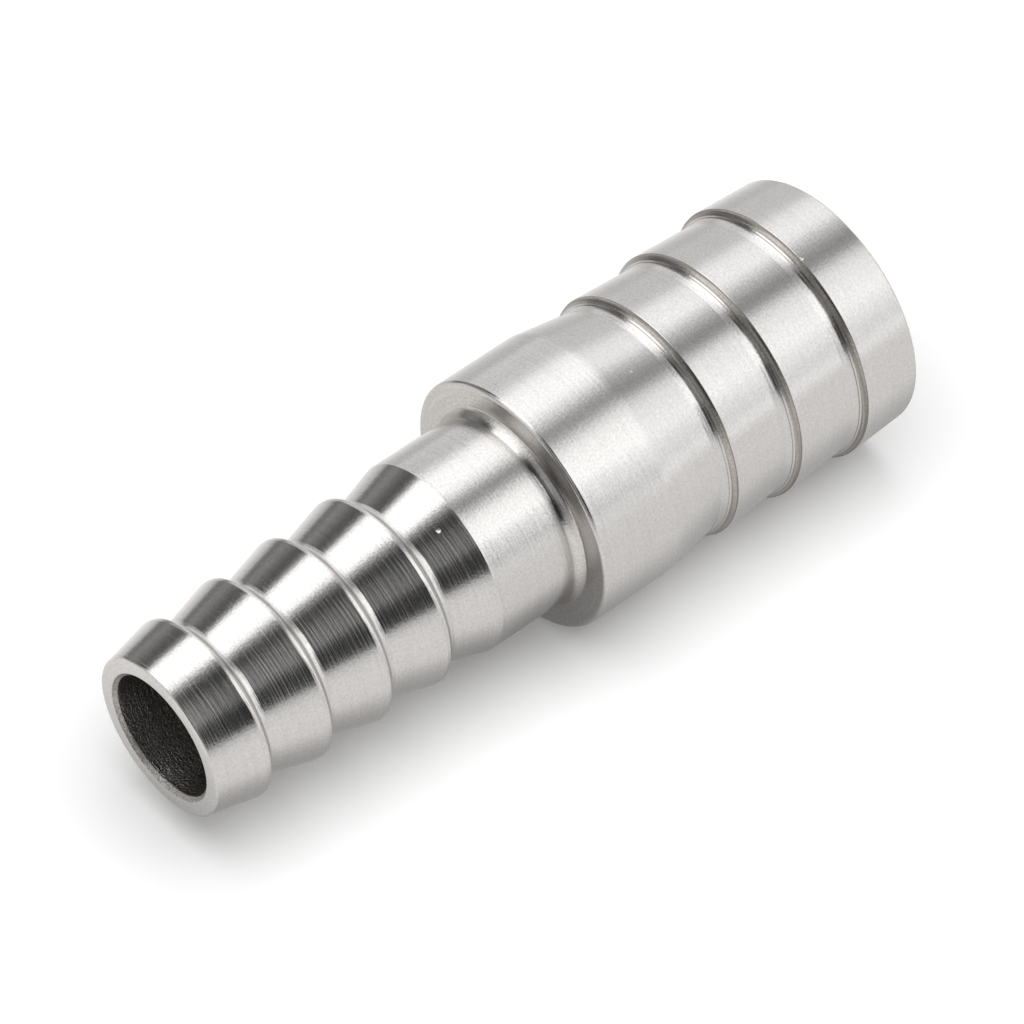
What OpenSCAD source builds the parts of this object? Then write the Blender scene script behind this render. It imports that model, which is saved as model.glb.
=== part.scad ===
// Hose barb reducer, turned from one stainless steel bar.
// It joins a hose of 12 mm bore to a hose of 16 mm bore.
// Origin at the middle of the large end's face, +Z along the axis to the small end.

/* [Small hose end] */
// Outside diameter at the flat end face
nose_d = 11.2; // [10.6:0.1:12]
// Length from the end face to the first crest
nose_l = 3.35; // [3:0.05:6]
// Outside diameter of the crest nearest the end face
small_crest_d = 12.64; // [12.2:0.02:13]
// Growth in diameter from each crest to the next one inwards
small_crest_step = 0.22; // [0:0.02:0.3]
// Number of barbs before the shank
small_barb_count = 4; // [2:1:6]
// Distance from crest to crest
small_pitch = 4.7; // [4:0.05:6]
// Distance from the shank's edge to the crest next to it
last_cone_l = 4.35; // [4:0.05:6]
// Depth of the groove behind each crest
small_barb_depth = 0.82; // [0.7:0.02:1]
// Length of the groove, from the crest to the foot of the next cone
small_groove_l = 1.3; // [1.2:0.05:1.6]
// Length of the level strip on top of each crest
small_crest_land = 0.2; // [0.05:0.05:0.25]
// Slope of the back of each crest, from the axis
small_back_angle = 60; // [55:1:75]
// Radius that rounds the back edge of each crest
small_crest_round = 0.25; // [0.1:0.05:0.3]
// Radius at the bottom of each groove
small_groove_round = 0.4; // [0.2:0.05:0.4]
// Diameter of the bore
small_bore_d = 8.6; // [7:0.1:9]
// Chamfer at the mouth of the bore
small_mouth_chamfer = 0.25; // [0.1:0.05:0.5]
// Broken outer edge of the end face
nose_edge = 0.12; // [0.05:0.01:0.2]

/* [Shank] */
// Diameter of the plain shank
shank_d = 13.52; // [13.4:0.02:14]
// Length of the shank, from its edge to the collar's face
shank_l = 6.6; // [4:0.1:12]
// Radius of the fillet where the shank meets the collar
shank_fillet = 1.1; // [0.3:0.1:1.5]
// Angle through which the fillet turns before it meets the collar's face
shank_fillet_turn = 50; // [30:5:65]

/* [Collar] */
// Diameter of the collar
collar_d = 17.8; // [17:0.1:20]
// Length of the collar's cylinder
collar_l = 6.2; // [3:0.1:10]
// Radius that rounds the outer edge of the collar's face
collar_round = 0.27; // [0.05:0.01:0.5]
// Length of the cone and shoulder between the collar and the innermost crest
relief_l = 5.2; // [4:0.1:8]

/* [Large hose end] */
// Outside diameter of the crest nearest the end face
large_crest_d = 18.3; // [17.8:0.1:19]
// Drop in diameter from each crest to the next one inwards
large_crest_step = 0.42; // [0:0.02:0.6]
// Length of the outer band, from the end face to its crest
outer_band_l = 4.4; // [3.5:0.05:7]
// Length of the middle band, from crest to crest
middle_band_l = 5.55; // [4:0.05:8]
// Length of the inner band, from crest to crest
inner_band_l = 5.25; // [4:0.05:8]
// Depth of each shoulder's foot below its crest
shoulder_depth = 0.44; // [0.3:0.02:0.6]
// Length along the axis of each shoulder's hollow sweep
shoulder_l = 0.9; // [0.7:0.05:1.4]
// Diameter at the end face
rim_d = 17.84; // [17:0.02:18.2]
// Broken outer edge of the end face
rim_edge = 0.15; // [0.05:0.01:0.3]
// Diameter of the bore
large_bore_d = 13.5; // [11:0.1:14]
// Distance from the collar's small-end face back to the end of the large bore
bore_set_back = 4.6; // [2:0.1:8]
// Chamfer at the mouth of the bore
large_mouth_chamfer = 0.4; // [0.1:0.05:0.6]
// Full angle of the drilled cone between the two bores
drill_angle = 118; // [60:1:135]

/* [Fineness] */
// Straight steps in each round of the outline
round_steps = 3; // [3:1:12]

/* [Hidden] */
$fn = 128;
steel = [0.78, 0.77, 0.75];

// Heights up the axis
inner_crest_z = outer_band_l + middle_band_l + inner_band_l;
large_crest_z = [outer_band_l, outer_band_l + middle_band_l, inner_crest_z];
collar_foot_z = inner_crest_z + relief_l;
collar_face_z = collar_foot_z + collar_l;
shank_edge_z = collar_face_z + shank_l;
last_crest_z = shank_edge_z + last_cone_l;
first_crest_z = last_crest_z + (small_barb_count - 1) * small_pitch;
tip_z = first_crest_z + nose_l;
large_bore_l = collar_face_z - bore_set_back;
drill_cone_l = (large_bore_d - small_bore_d) / 2 / tan(drill_angle / 2);

// Points on an arc in the plane of radius and height
function arc(centre, r, from, to) = [
    for (i = [0 : round_steps])
        let (a = from + (to - from) * i / round_steps)
        centre + r * [cos(a), sin(a)]
];

// Crest of a large barb and the hollow shoulder behind it, from low to high
function large_barb(k) =
    let (
        crest_r = (large_crest_d - k * large_crest_step) / 2,
        foot_r = crest_r - shoulder_depth,
        sweep_r = (shoulder_l * shoulder_l + shoulder_depth * shoulder_depth) / 2 / shoulder_depth,
        foot_z = large_crest_z[k] + shoulder_l,
        turn = asin(shoulder_l / sweep_r)
    )
    arc([foot_r + sweep_r, foot_z], sweep_r, 180 + turn, 180);

// Groove, back and crest of a small barb, from low to high.
// The barb next to the shank is number 0.
function small_barb(k) =
    let (
        from_tip = small_barb_count - 1 - k,
        crest_r = small_crest_d / 2 + from_tip * small_crest_step / 2,
        root_r = crest_r - small_barb_depth,
        crest_z = last_crest_z + k * small_pitch,
        back = small_back_angle,
        rounds = small_crest_round + small_groove_round,
        flank_rise = small_barb_depth - rounds * (1 - cos(back)),
        back_l = rounds * sin(back) + flank_rise / tan(back),
        round_z = crest_z - small_crest_land,
        root_z = round_z - back_l
    )
    concat(
        [[root_r, crest_z - small_groove_l]],
        arc([root_r + small_groove_round, root_z], small_groove_round, 180, 180 - back),
        arc([crest_r - small_crest_round, round_z], small_crest_round, -back, 0),
        [[crest_r, crest_z]]
    );

// Half section of the outside, from the large end's face to the small end's
outside = concat(
    [
        [rim_d / 2 - rim_edge, 0],
        [rim_d / 2, rim_edge]
    ],
    [for (k = [0 : len(large_crest_z) - 1]) each large_barb(k)],
    [
        [collar_d / 2, collar_foot_z]
    ],
    arc([collar_d / 2 - collar_round, collar_face_z - collar_round], collar_round, 0, 90),
    arc(
        [shank_d / 2 + shank_fillet, collar_face_z + shank_fillet * sin(shank_fillet_turn)],
        shank_fillet,
        180 + shank_fillet_turn,
        180
    ),
    [[shank_d / 2, shank_edge_z]],
    [for (k = [0 : small_barb_count - 1]) each small_barb(k)],
    [
        [nose_d / 2, tip_z - nose_edge],
        [nose_d / 2 - nose_edge, tip_z]
    ]
);

// Half section of the through bore, from the small end's mouth to the large end's
inside = [
    [small_bore_d / 2 + small_mouth_chamfer, tip_z],
    [small_bore_d / 2, tip_z - small_mouth_chamfer],
    [small_bore_d / 2, large_bore_l + drill_cone_l],
    [large_bore_d / 2, large_bore_l],
    [large_bore_d / 2, large_mouth_chamfer],
    [large_bore_d / 2 + large_mouth_chamfer, 0]
];

module reducer() {
    color(steel)
    rotate_extrude()
    polygon(concat(outside, inside));
}

reducer();
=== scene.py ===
import bmesh
import bpy
import math
from mathutils import Matrix, Quaternion, Vector


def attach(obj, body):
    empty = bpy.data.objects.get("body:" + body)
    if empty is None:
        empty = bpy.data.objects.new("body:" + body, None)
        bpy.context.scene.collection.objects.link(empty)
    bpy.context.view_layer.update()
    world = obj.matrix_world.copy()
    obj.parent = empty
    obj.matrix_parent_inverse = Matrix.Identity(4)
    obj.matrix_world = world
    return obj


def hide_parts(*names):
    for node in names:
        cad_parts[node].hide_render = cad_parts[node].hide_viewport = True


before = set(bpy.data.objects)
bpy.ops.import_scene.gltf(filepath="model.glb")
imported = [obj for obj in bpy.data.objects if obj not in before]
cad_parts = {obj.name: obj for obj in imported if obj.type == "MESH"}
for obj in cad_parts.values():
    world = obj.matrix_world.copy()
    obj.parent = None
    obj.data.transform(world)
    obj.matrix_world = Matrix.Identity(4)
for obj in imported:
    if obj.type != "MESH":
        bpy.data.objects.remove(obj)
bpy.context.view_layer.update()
scene = bpy.context.scene
mm = 0.001

# The camera
# A long lens looks down at the small end from the side, and is rolled so that the axis
# runs from the lower left of the picture to the upper right.
camera_distance = 400.0 * mm
camera_elevation = math.radians(25.466)
camera_roll = math.radians(-123.44)
camera_lens = 224.5
camera_sensor = 36
camera_near = 0.01
camera_far = 20
aim = Vector((-0.355, 0, 26.76)) * mm
middle = Vector((0, 0, 27.5)) * mm

camera_data = bpy.data.cameras.new("camera")
camera_data.sensor_width = camera_sensor
camera_data.lens = camera_lens
camera_data.clip_start = camera_near
camera_data.clip_end = camera_far
camera = bpy.data.objects.new("camera", camera_data)
scene.collection.objects.link(camera)
scene.camera = camera
camera.location = middle + camera_distance * Vector(
    (0, -math.cos(camera_elevation), math.sin(camera_elevation))
)
level = (aim - camera.location).to_track_quat("-Z", "Y")
camera.rotation_mode = "QUATERNION"
camera.rotation_quaternion = level @ Quaternion((0, 0, 1), camera_roll)

# The floor
# A plain white studio floor. The reducer lies on it in the photograph, so it stands
# along the side of the upright part, touching the outermost crest and the collar.
floor_turn = math.radians(33.1)
floor_size = 3.0
outer_crest = Vector((9.15, 4.4)) * mm
collar_corner = Vector((8.9, 26.2)) * mm
floor_white = "F9F9F9"
floor_lift = 0.08
up = Vector((0, 0, 1))


def colour(code):
    """Turns an sRGB hex value into linear red, green, blue and alpha."""
    parts = [int(code[i : i + 2], 16) / 255 for i in (0, 2, 4)]
    return [p / 12.92 if p <= 0.04045 else ((p + 0.055) / 1.055) ** 2.4 for p in parts] + [1]


def node(tree, kind, inputs=None, **settings):
    """Adds a node with its settings. An input is a value or another node's output."""
    made = tree.nodes.new(kind)
    for name, value in settings.items():
        setattr(made, name, value)
    for name, value in (inputs or {}).items():
        if isinstance(value, bpy.types.NodeSocket):
            tree.links.new(value, made.inputs[name])
        else:
            made.inputs[name].default_value = value
    return made


def blank_material(name):
    """A material and its empty node tree."""
    made = bpy.data.materials.new(name)
    made.use_nodes = True
    made.node_tree.nodes.clear()
    return made, made.node_tree


def seen_rays(tree):
    """One for what the camera, a reflection or a clear body sees, and nought for light."""
    ray = node(tree, "ShaderNodeLightPath")
    seen = node(
        tree, "ShaderNodeMath",
        {0: ray.outputs["Is Camera Ray"], 1: ray.outputs["Is Glossy Ray"]},
        operation="MAXIMUM",
    )
    return node(
        tree, "ShaderNodeMath",
        {0: seen.outputs[0], 1: ray.outputs["Is Transmission Ray"]},
        operation="MAXIMUM",
    ).outputs[0]


def flat_sheet(size):
    """A square sheet about the origin, as a bmesh."""
    sheet = bmesh.new()
    bmesh.ops.create_grid(sheet, x_segments=1, y_segments=1, size=size / 2)
    return sheet


def shown(name, bm, *materials):
    """Puts a bmesh in the scene as an object with its materials."""
    mesh = bpy.data.meshes.new(name)
    bm.to_mesh(mesh)
    bm.free()
    for material in materials:
        mesh.materials.append(material)
    made = bpy.data.objects.new(name, mesh)
    scene.collection.objects.link(made)
    return made


# Matt white paper. It keeps the object's shadow, and what the camera sees of it is lifted
# to white. Its back is clear, so that the part can be seen from behind it too.
paper, tree = blank_material("white floor paper")
lift = node(tree, "ShaderNodeMath", {0: seen_rays(tree), 1: floor_lift}, operation="MULTIPLY")
glow = node(tree, "ShaderNodeEmission", {"Color": (1, 1, 1, 1), "Strength": lift.outputs[0]})
matt = node(tree, "ShaderNodeBsdfDiffuse", {"Color": colour(floor_white)})
front = node(tree, "ShaderNodeAddShader", {0: glow.outputs[0], 1: matt.outputs[0]})
side = node(tree, "ShaderNodeNewGeometry")
clear = node(tree, "ShaderNodeBsdfTransparent")
paper_shader = node(
    tree, "ShaderNodeMixShader",
    {0: side.outputs["Backfacing"], 1: front.outputs[0], 2: clear.outputs[0]},
)
node(tree, "ShaderNodeOutputMaterial", {"Surface": paper_shader.outputs[0]})

# The floor's own axes: across the part, along it and away from the floor. They start at
# the point where the outermost crest touches it.
to_floor = Vector((-math.sin(floor_turn), math.cos(floor_turn), 0))
crest_touch = to_floor * outer_crest.x + up * outer_crest.y
collar_touch = to_floor * collar_corner.x + up * collar_corner.y
along = (collar_touch - crest_touch).normalized()
across = to_floor.cross(up)
off_floor = across.cross(along)
floor_frame = Matrix((across, along, off_floor)).transposed().to_4x4()
floor_frame.translation = crest_touch
floor = shown("floor", flat_sheet(floor_size), paper)
floor.matrix_world = floor_frame
floor.visible_glossy = False

# The light
# White all round, dimmer where it falls on matt surfaces, and one wide soft lamp above
# the floor. The metal's bands come from a photographer's tent of white and dark cloth
# round the part, which only the metal sees.
world_diffuse = 0.36
lamp_power = 7.6
lamp_size = 0.9
lamp_distance = 0.9
lamp_slope = -0.15
lamp_slope_up = 0.1

scene.view_settings.view_transform = "Standard"
world = bpy.data.worlds.new("studio")
scene.world = world
world.use_nodes = True
tree = world.node_tree
tree.nodes.clear()
strength = node(tree, "ShaderNodeMapRange", {0: seen_rays(tree), 3: world_diffuse, 4: 1.0})
white = node(
    tree, "ShaderNodeBackground", {"Color": (1, 1, 1, 1), "Strength": strength.outputs[0]}
)
node(tree, "ShaderNodeOutputWorld", {"Surface": white.outputs[0]})

lamp_data = bpy.data.lights.new("overhead lamp", "AREA")
lamp_data.shape = "SQUARE"
lamp_data.size = lamp_size
lamp_data.energy = lamp_power
lamp = bpy.data.objects.new("overhead lamp", lamp_data)
scene.collection.objects.link(lamp)
lamp_way = (off_floor + across * lamp_slope + along * lamp_slope_up).normalized()
lamp.location = middle + lamp_way * lamp_distance
lamp.rotation_mode = "QUATERNION"
lamp.rotation_quaternion = lamp_way.to_track_quat("Z", "Y")
lamp.visible_glossy = False


# A ramp holds half of each shade, which keeps its colours near the 0 to 1 that it is made
# for, and the light that uses it is made stronger to match.
ramp_share = 0.5


def shade_ramp(tree, place, stops, unit, tint=(1.0, 1.0, 1.0)):
    """A ramp's share of the shade at a place. The stops are places and shades, in order,
    and the shade changes evenly between them. The unit makes their places the place's."""
    first = stops[0][0]
    span = stops[-1][0] - first
    part = node(
        tree, "ShaderNodeMapRange", {0: place, 1: first * unit, 2: (first + span) * unit}
    )
    ramp = node(tree, "ShaderNodeValToRGB", {0: part.outputs[0]})
    marks = ramp.color_ramp.elements
    while len(marks) < len(stops):
        marks.new(1.0)
    for mark, (where, shade) in zip(marks, stops):
        mark.position = (where - first) / span
        mark.color = [shade * ramp_share * channel for channel in tint] + [1]
    return ramp.outputs["Color"]


def only_mirrored(sheet):
    """Hides a sheet from the camera, from matt surfaces and from shadows."""
    sheet.visible_camera = False
    sheet.visible_diffuse = False
    sheet.visible_shadow = False


# The tent is made of strips that bend round the part, one above the other. Each has its
# distance, its lower and upper tilt from the middle of the part, and its shades by turn,
# from the floor's far side round to its near side, with the camera at 0. Angles are in
# degrees.
tent_tint = (0.984, 1.0, 1.016)
tent_steps_up = 6
tent_steps_round = 48
tent = [
    (0.35, -62, -37, (
        (-123, 0.93), (-96, 1.00), (-90, 1.08), (-84, 1.38), (-78, 1.46), (-66, 1.50),
        (-60, 1.42), (-55, 1.02), (-49, 0.72), (-43, 0.60), (-37, 0.45), (-30, 0.42),
        (-24, 0.75), (-18, 1.25), (-12, 1.42), (0, 1.55), (12, 1.68), (18, 1.65),
        (24, 1.50), (30, 1.42), (36, 1.33), (43, 1.25), (47, 1.50), (54, 1.45), (59, 1.20),
    )),
    (0.35, -37, -29, (
        (-123, 0.93), (-96, 0.93), (-89, 1.00), (-84, 1.42), (-78, 1.56), (-66, 1.68),
        (-59, 1.76), (-55, 1.55), (-49, 1.10), (-43, 0.74), (-37, 0.42), (-31, 0.33),
        (-25, 0.60), (-19, 1.36), (-12, 1.55), (0, 1.68), (12, 1.80), (18, 1.74),
        (24, 1.55), (30, 1.45), (36, 1.32), (43, 1.20), (47, 1.50), (54, 1.60), (59, 1.20),
    )),
    (0.35, -29, -20.5, (
        (-123, 1.12), (-96, 1.14), (-90, 1.33), (-84, 1.68), (-78, 1.76), (-72, 1.84),
        (-54, 1.92), (-48, 1.60), (-42, 1.22), (-36, 0.80), (-30, 0.60), (-25, 0.81),
        (-18, 1.58), (-12, 1.84), (0, 1.95), (12, 2.10), (18, 2.12), (24, 1.94),
        (30, 1.78), (36, 1.60), (42, 1.22), (59, 1.20),
    )),
    (0.35, -20.5, -12.5, (
        (-123, 0.46), (-100, 0.26), (-81, 0.19), (-77, 2.20), (-41, 2.20), (-38, 0.70),
        (-30, 0.18), (-27, 0.06), (-15, 0.06), (-9, 2.00), (13, 2.20), (18, 0.20),
        (22, 0.04), (40, 0.04), (43, 0.35), (46, 0.74), (54, 0.99), (59, 1.10),
    )),
    (0.35, -12.5, 5, (
        (-123, 0.30), (-112, 0.39), (-100, 0.21), (-92, 0.10), (-81, 0.10), (-76.5, 2.20),
        (-41, 2.20), (-38.5, 0.70), (-30, 0.18), (-27, 0.04), (-17, 0.01), (-8, 0.02),
        (5, 0.04), (13, 0.04), (17, 0.01), (21, 0.01), (41, 0.01), (44, 0.18), (46, 0.76),
        (50, 0.95), (59, 1.20),
    )),
    (0.35, 5, 14, (
        (-123, 0.30), (-112, 0.39), (-100, 0.23), (-92, 0.10), (-81, 0.12), (-78, 2.20),
        (-41, 2.20), (-38.5, 0.60), (-30, 0.12), (-27, 0.03), (-19, 0.03), (-12, 0.14),
        (5, 0.27), (13, 0.27), (17, 0.05), (21, 0.02), (40, 0.02), (44, 0.23), (46, 0.80),
        (50, 1.00), (59, 1.20),
    )),
    (0.35, 14, 30, (
        (-123, 0.42), (-100, 0.46), (-90, 0.62), (-80, 1.70), (-60, 2.10), (-40, 1.40),
        (-34, 0.55), (-27, 0.22), (-18, 0.30), (-8, 0.58), (14, 0.62), (20, 0.27),
        (30, 0.20), (40, 0.45), (50, 0.75), (59, 0.95),
    )),
    (0.35, 30, 50, (
        (-123, 0.45), (-100, 0.58), (-80, 1.40), (-60, 1.80), (-40, 1.00), (-30, 0.50),
        (-20, 0.46), (-10, 0.50), (40, 0.50), (50, 0.55), (59, 0.65),
    )),
    (0.35, 50, 88, (
        (-123, 1.00), (-80, 1.10), (-60, 0.80), (-50, 0.45), (-40, 0.22), (-30, 0.10),
        (45, 0.04), (59, 0.35),
    )),
    (0.09, -16, 16, ((-141, 0.60), (-134, 0.46), (-129, 0.27), (-119, 0.23))),
]
for row, (distance, lower, upper, shades) in enumerate(tent):
    name = "tent strip %d" % row
    strip_cloth, tree = blank_material(name)
    place = node(tree, "ShaderNodeTexCoord")
    facing = node(
        tree, "ShaderNodeVectorMath", {0: place.outputs["Object"], 3: -1.0}, operation="SCALE"
    )
    xyz = node(tree, "ShaderNodeSeparateXYZ", {0: facing.outputs[0]})
    turn = node(
        tree, "ShaderNodeMath", {0: xyz.outputs["X"], 1: xyz.outputs["Y"]}, operation="ARCTAN2"
    )
    shade = shade_ramp(tree, turn.outputs[0], shades, math.radians(1), tent_tint)
    glow = node(tree, "ShaderNodeEmission", {"Color": shade, "Strength": 1 / ramp_share})
    node(tree, "ShaderNodeOutputMaterial", {"Surface": glow.outputs[0]})

    start = math.radians(shades[0][0])
    span = math.radians(shades[-1][0] - shades[0][0])
    ahead = Vector((-math.sin(start), -math.cos(start), 0))
    bm = bmesh.new()
    rib = []
    for i in range(tent_steps_up + 1):
        tilt = math.radians(lower + (upper - lower) * i / tent_steps_up)
        way = ahead * math.cos(tilt) + up * math.sin(tilt)
        rib.append(bm.verts.new(middle + way * distance))
    edges = [bm.edges.new(pair) for pair in zip(rib, rib[1:])]
    bmesh.ops.spin(
        bm, geom=rib + edges, cent=(0, 0, 0), axis=(0, 0, 1),
        angle=-span, steps=tent_steps_round,
    )
    strip = shown(name, bm, strip_cloth)
    only_mirrored(strip)

# A sheet lies on the floor below the reducer and glows with a painted reflection of the
# floor, which the metal sees in place of the paper. It holds a painted shadow of the part:
# dark under the part, darker still in the corner between shank and collar, and pale to both
# sides and beyond the tip. Places are in mm from the point where the outermost crest
# touches the floor.
shade_sheet_size = 0.8
painted_shade_across = (
    (-30, 1.17), (-17, 1.13), (-14, 1.02), (-11, 0.8), (-8, 0.6), (-5, 0.46), (0, 0.4),
    (4, 0.5), (9, 0.78), (15, 1.0), (24, 1.1), (30, 1.04), (38, 0.94), (53, 0.86), (90, 0.8),
)
painted_shade_along = ((-10, 0.96), (0, 0.92), (24, 0.92), (31, 1.0))
# The painted corner shade is deepest round this point and fades out between the near and far
# distances.
painted_shade_corner = Vector((-1, 22, 0)) * mm
corner_near = 3 * mm
corner_far = 12 * mm
corner_shade = 0.65
pale_from = 50 * mm
pale_to = 58 * mm
pale_shade = 1.14
# Painted shade: the sheet's glow is the painted shadow across and along the part, dimmed further
# in the corner, and it turns to the pale lit floor beyond the tip.
painted_floor_shade, tree = blank_material("painted floor shade for the metal")
place = node(tree, "ShaderNodeTexCoord")
xyz = node(tree, "ShaderNodeSeparateXYZ", {0: place.outputs["Object"]})
shade = node(
    tree, "ShaderNodeVectorMath",
    {
        0: shade_ramp(tree, xyz.outputs["X"], painted_shade_across, mm),
        1: shade_ramp(tree, xyz.outputs["Y"], painted_shade_along, mm),
    },
    operation="MULTIPLY",
)
reach = node(
    tree, "ShaderNodeVectorMath", {0: place.outputs["Object"], 1: painted_shade_corner},
    operation="DISTANCE",
)
corner = node(
    tree, "ShaderNodeMapRange",
    {
        0: reach.outputs["Value"], 1: corner_near, 2: corner_far,
        3: corner_shade / ramp_share ** 2, 4: 1 / ramp_share ** 2,
    },
)
dull = node(
    tree, "ShaderNodeEmission", {"Color": shade.outputs[0], "Strength": corner.outputs[0]}
)
pale = node(tree, "ShaderNodeEmission", {"Color": (1, 1, 1, 1), "Strength": pale_shade})
beyond = node(tree, "ShaderNodeMapRange", {0: xyz.outputs["Y"], 1: pale_from, 2: pale_to})
painted_shade_shader = node(
    tree, "ShaderNodeMixShader", {0: beyond.outputs[0], 1: dull.outputs[0], 2: pale.outputs[0]}
)
node(tree, "ShaderNodeOutputMaterial", {"Surface": painted_shade_shader.outputs[0]})
under = shown("sheet of painted floor shade", flat_sheet(shade_sheet_size), painted_floor_shade)
under.matrix_world = floor_frame
only_mirrored(under)

# The reducer
# One piece turned from stainless steel bar. The small end's barbs grow towards a plain
# shank and a collar, and the large end's bands fall back to the rim. Bored from both ends.
tip_z = 55.0
nose_r = 5.6
small_crest_r = 6.32
small_crest_growth = 0.11
small_crest_z = 51.65
small_pitch = 4.7
small_barbs = 4
small_depth = 0.82
crest_land = 0.2
back_slope = math.radians(60)
groove_l = 1.3
shank_r = 6.76
shank_edge_z = 33.2
collar_face_z = 26.6
collar_foot_z = 20.4
collar_r = 8.9
fillet_r = 1.1
fillet_turn = math.radians(50)
large_crests = ((9.15, 4.4), (8.94, 9.95), (8.73, 15.2))
# Each shoulder falls from its crest in the small steps that the tool left, and runs out
# in a gentle foot. Slopes from the axis in degrees, and lengths.
shoulder_steps = (
    (72, 0.11), (44, 0.12), (27, 0.14), (39, 0.1), (20, 0.14), (31, 0.08), (10, 0.14), (4, 0.44),
)
rim_r = 8.92
small_bore_r = 4.3
large_bore_r = 6.75
large_bore_l = 22.0
drill_half_angle = math.radians(59)
small_chamfer = 0.25
large_chamfer = 0.4
# Lengths over which the corners are rounded.
step_round = 0.03
fine_round = 0.04
edge_round = 0.05
mouth_round = 0.02
nose_round = 0.12
rim_round = 0.15
crest_round = 0.144
groove_round = 0.23
collar_round = 0.27
collar_foot_round = 0.25
drill_round = 0.1
segments_in_round = 6
facets = 256

# The outline is a chain of corners, from the large end's face round to its bore: each
# has its radius, its height and the length over which it is rounded.
outline = [(rim_r, 0, rim_round)]
for radius, height in large_crests:
    outline.append((radius, height, fine_round))
    for slope, length in shoulder_steps:
        radius -= length * math.sin(math.radians(slope))
        height += length * math.cos(math.radians(slope))
        outline.append((radius, height, step_round))
fillet_reach = math.tan(fillet_turn / 2)
fillet_foot_r = shank_r + fillet_r * (1 - math.cos(fillet_turn))
fillet_bend_z = collar_face_z + fillet_r * (math.sin(fillet_turn) - fillet_reach)
outline += [
    (collar_r, collar_foot_z, collar_foot_round),
    (collar_r, collar_face_z, collar_round),
    (fillet_foot_r, collar_face_z, fine_round),
    (shank_r, fillet_bend_z, fillet_reach * 0.99),
    (shank_r, shank_edge_z, fine_round),
]
for i in reversed(range(small_barbs)):
    radius = small_crest_r + i * small_crest_growth
    height = small_crest_z - i * small_pitch
    root_r = radius - small_depth
    back_top_z = height - crest_land - crest_round
    back_foot_z = back_top_z - small_depth / math.tan(back_slope)
    outline += [
        (root_r, height - groove_l, edge_round),
        (root_r, back_foot_z, groove_round),
        (radius, back_top_z, crest_round),
        (radius, height, edge_round),
    ]
drill_cone_l = (large_bore_r - small_bore_r) / math.tan(drill_half_angle)
outline += [
    (nose_r, tip_z, nose_round),
    (small_bore_r + small_chamfer, tip_z, mouth_round),
    (small_bore_r, tip_z - small_chamfer, edge_round),
    (small_bore_r, large_bore_l + drill_cone_l, drill_round),
    (large_bore_r, large_bore_l, drill_round),
    (large_bore_r, large_chamfer, edge_round),
    (large_bore_r + large_chamfer, 0, edge_round),
]

bm = bmesh.new()
corners = [bm.verts.new((radius * mm, 0, height * mm)) for radius, height, _ in outline]
for first, second in zip(corners, corners[1:] + corners[:1]):
    bm.edges.new((first, second))
for corner, (_, _, rounding) in zip(corners, outline):
    bmesh.ops.bevel(
        bm, geom=[corner], offset=rounding * mm, offset_type="OFFSET",
        segments=segments_in_round, profile=0.5, affect="VERTICES", material=-1,
    )
bmesh.ops.spin(
    bm, geom=bm.verts[:] + bm.edges[:], cent=(0, 0, 0), axis=(0, 0, 1),
    angle=2 * math.pi, steps=facets, use_merge=True,
)
bmesh.ops.recalc_face_normals(bm, faces=bm.faces[:])
for face in bm.faces:
    face.smooth = True


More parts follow.
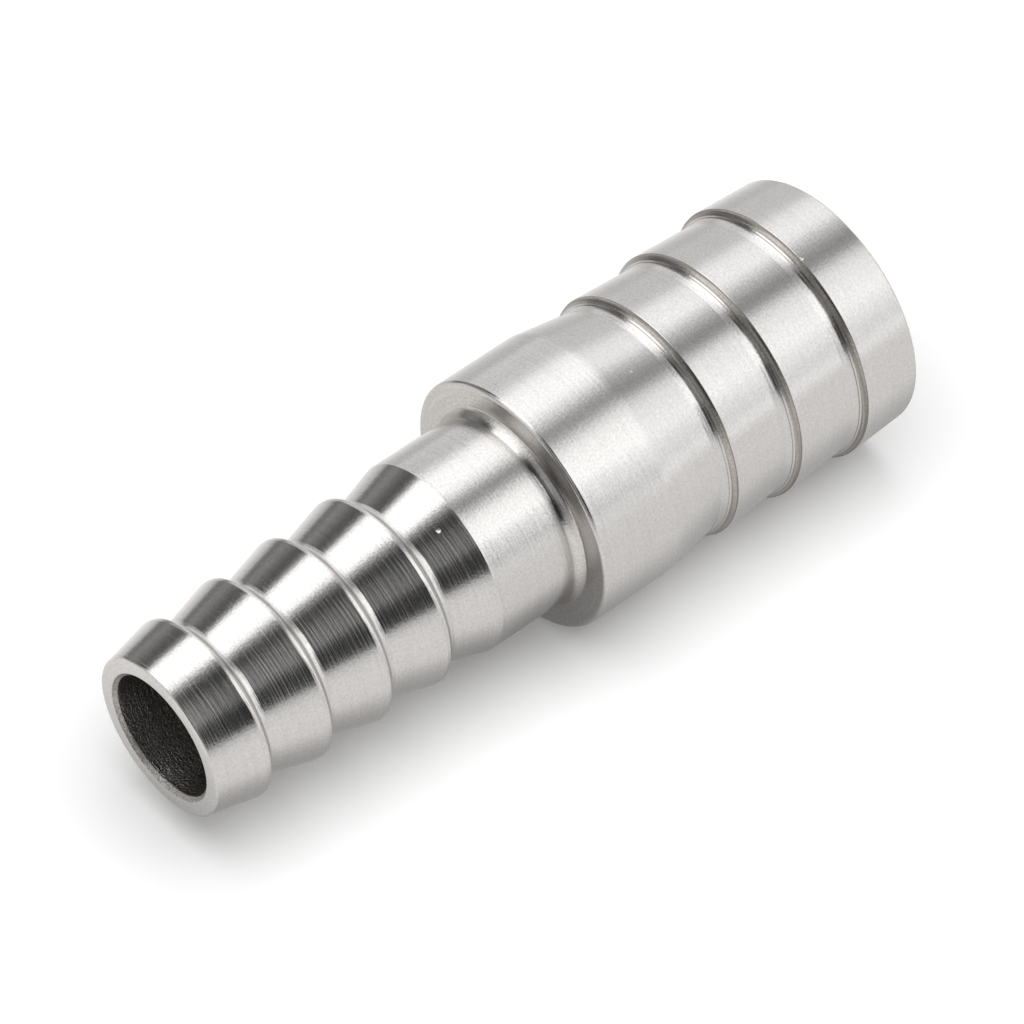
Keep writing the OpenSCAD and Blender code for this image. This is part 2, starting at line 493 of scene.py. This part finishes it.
def cut_steel(
    name, tint, roughness, lengthwise, ring_depth, grain_depth, mottle, streaks, nicks=()
):
    """Bare cut steel: it mirrors in bands along the axis, because the tool's feed marks run
    round it and blur what it mirrors lengthwise. Depths are in mm, and mottle and
    streaks are how much the tint varies, as fractions. A nick has its place and radius."""
    made, tree = blank_material(name)
    place = node(tree, "ShaderNodeTexCoord").outputs["Object"]
    xyz = node(tree, "ShaderNodeSeparateXYZ", {0: place})
    flat = node(tree, "ShaderNodeVectorMath", {0: place, 1: (1, 1, 0)}, operation="MULTIPLY")
    radius_out = node(tree, "ShaderNodeVectorMath", {0: flat.outputs[0]}, operation="LENGTH")
    round_way = node(
        tree, "ShaderNodeVectorMath", {0: (0, 0, 1), 1: place}, operation="CROSS_PRODUCT"
    )
    round_way = node(
        tree, "ShaderNodeVectorMath", {0: round_way.outputs[0]}, operation="NORMALIZE"
    )

    # Feed marks: fine rings about 0.2 mm apart, broken up a little round the part. They
    # are cut deeper on the barbs of the small end than lower down.
    ring_pitch = 0.18 * mm
    ring_drift = 6 * mm
    ring_depth_below = 0.3
    ring_edge = 0.3
    ring_place = node(
        tree, "ShaderNodeCombineXYZ", {0: radius_out.outputs["Value"], 1: xyz.outputs["Z"]}
    )
    ring_scale = node(
        tree, "ShaderNodeVectorMath", {0: ring_place.outputs[0], 3: 1 / ring_pitch},
        operation="SCALE",
    )
    drift = node(
        tree, "ShaderNodeVectorMath", {0: place, 3: 1 / ring_drift}, operation="SCALE"
    )
    ring_at = node(
        tree, "ShaderNodeVectorMath", {0: ring_scale.outputs[0], 1: drift.outputs[0]},
        operation="ADD",
    )
    rings = node(
        tree, "ShaderNodeTexNoise",
        {"Vector": ring_at.outputs[0], "Scale": 1.0, "Detail": 2.0, "Roughness": 0.6},
    )
    cut = node(
        tree, "ShaderNodeMapRange",
        {
            0: xyz.outputs["Z"], 1: (shank_edge_z - ring_edge) * mm, 2: shank_edge_z * mm,
            3: ring_depth_below, 4: 1.0,
        },
    )
    ring_height = node(
        tree, "ShaderNodeMath", {0: rings.outputs[0], 1: cut.outputs[0]}, operation="MULTIPLY"
    )
    relief = node(
        tree, "ShaderNodeBump",
        {"Strength": 1.0, "Distance": ring_depth * mm, "Height": ring_height.outputs[0]},
    )

    # Fine grain: the surface is faintly mottled, with pits and dull spots 0.1 to 0.3 mm wide.
    grain_pitch = 0.15 * mm
    grain = node(
        tree, "ShaderNodeTexNoise",
        {"Vector": place, "Scale": 1 / grain_pitch, "Detail": 3.0, "Roughness": 0.6},
    )
    relief = node(
        tree, "ShaderNodeBump",
        {
            "Strength": 1.0, "Distance": grain_depth * mm,
            "Height": grain.outputs[0], "Normal": relief.outputs[0],
        },
    )

    # A nick is a round dent that is deepest in its middle.
    dent_depth = 0.4
    for spot, radius in nicks:
        away = node(
            tree, "ShaderNodeVectorMath", {0: place, 1: Vector(spot) * mm}, operation="DISTANCE"
        )
        dent = node(
            tree, "ShaderNodeMapRange", {0: away.outputs["Value"], 1: 0.0, 2: radius * mm}
        )
        relief = node(
            tree, "ShaderNodeBump",
            {
                "Strength": 1.0, "Distance": dent_depth * radius * mm,
                "Height": dent.outputs[0], "Normal": relief.outputs[0],
            },
        )

    # The tint varies with the grain and the rings, between the lows and highs of their noise.
    grain_low = 0.25
    grain_high = 0.75
    ring_low = 0.3
    ring_high = 0.7
    worn = node(
        tree, "ShaderNodeMapRange",
        {0: grain.outputs[0], 1: grain_low, 2: grain_high, 3: 1 - mottle, 4: 1 + mottle},
    )
    streaked = node(
        tree, "ShaderNodeMapRange",
        {0: rings.outputs[0], 1: ring_low, 2: ring_high, 3: 1 - streaks, 4: 1 + streaks},
    )
    shade = node(
        tree, "ShaderNodeMath", {0: worn.outputs[0], 1: streaked.outputs[0]},
        operation="MULTIPLY",
    )
    tinted = node(
        tree, "ShaderNodeVectorMath", {0: colour(tint)[:3], 3: shade.outputs[0]},
        operation="SCALE",
    )
    # A quarter turn from the way round the part lays the blur along its axis.
    quarter_turn = 0.25
    metal = node(
        tree, "ShaderNodeBsdfPrincipled",
        {
            "Base Color": tinted.outputs[0],
            "Metallic": 1.0,
            "Roughness": roughness,
            "Anisotropic": lengthwise,
            "Anisotropic Rotation": quarter_turn,
            "Tangent": round_way.outputs[0],
            "Normal": relief.outputs[0],
        },
    )
    node(tree, "ShaderNodeOutputMaterial", {"Surface": metal.outputs[0]})
    return made


# Turned stainless steel: pale and faintly warm, with a soft satin finish and three nicks
# that catch the light.
steel = cut_steel(
    "turned stainless steel", tint="C1BEBB", roughness=0.2, lengthwise=0.5,
    ring_depth=0.022, grain_depth=0.006, mottle=0.12, streaks=0.03,
    nicks=(
        ((1.18, -6.22, 34.61), 0.15),
        ((2.88, -8.17, 18.46), 0.1),
        ((2.92, -8.67, 4.3), 0.13),
    ),
)
# The steep steps of the shoulders get a coarser steel, darker and browner than the rest.
scored = cut_steel(
    "scored stainless steel", tint="9C9690", roughness=0.26, lengthwise=0.4,
    ring_depth=0.09, grain_depth=0.01, mottle=0.2, streaks=0.3,
)
# The bore was drilled and not finished: rough, grey and speckled.
drilled = cut_steel(
    "drilled stainless steel", tint="9E9A96", roughness=0.34, lengthwise=0.0,
    ring_depth=0.03, grain_depth=0.06, mottle=0.5, streaks=0.1,
)
# The collar's face and its fillet: close rings, a little duller than the turned sides.
faced = cut_steel(
    "faced stainless steel", tint="C0BCB8", roughness=0.22, lengthwise=0.4,
    ring_depth=0.05, grain_depth=0.01, mottle=0.15, streaks=0.06,
)

# Each face gets its steel: the bore, the steep steps of the shoulders, the collar's face
# with its fillet, and the rest.
cuts = (steel, scored, drilled, faced)
mouth_r = small_bore_r + small_chamfer
end_margin = 0.01
shoulder_l = 0.95
shoulder_steepness = 0.42
collar_face_span = (-0.05, 1)
collar_face_steepness = 0.3
for face in bm.faces:
    centre = face.calc_center_median() / mm
    above_collar = centre.z - collar_face_z
    inward = face.normal.xy.dot(centre.xy) < 0
    in_mouth = centre.xy.length < mouth_r and centre.z < tip_z - end_margin
    on_shoulder = any(0 < centre.z - height < shoulder_l for _, height in large_crests)
    on_collar_face = collar_face_span[0] < above_collar < collar_face_span[1]
    if inward or in_mouth:
        face.material_index = cuts.index(drilled)
    elif face.normal.z > shoulder_steepness and on_shoulder:
        face.material_index = cuts.index(scored)
    elif face.normal.z > collar_face_steepness and on_collar_face:
        face.material_index = cuts.index(faced)
reducer = shown("turned_reducer", bm, *cuts)
even = reducer.modifiers.new("even shading", "WEIGHTED_NORMAL")
even.mode = "FACE_AREA"
even.keep_sharp = True
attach(reducer, "root")
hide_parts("reducer")
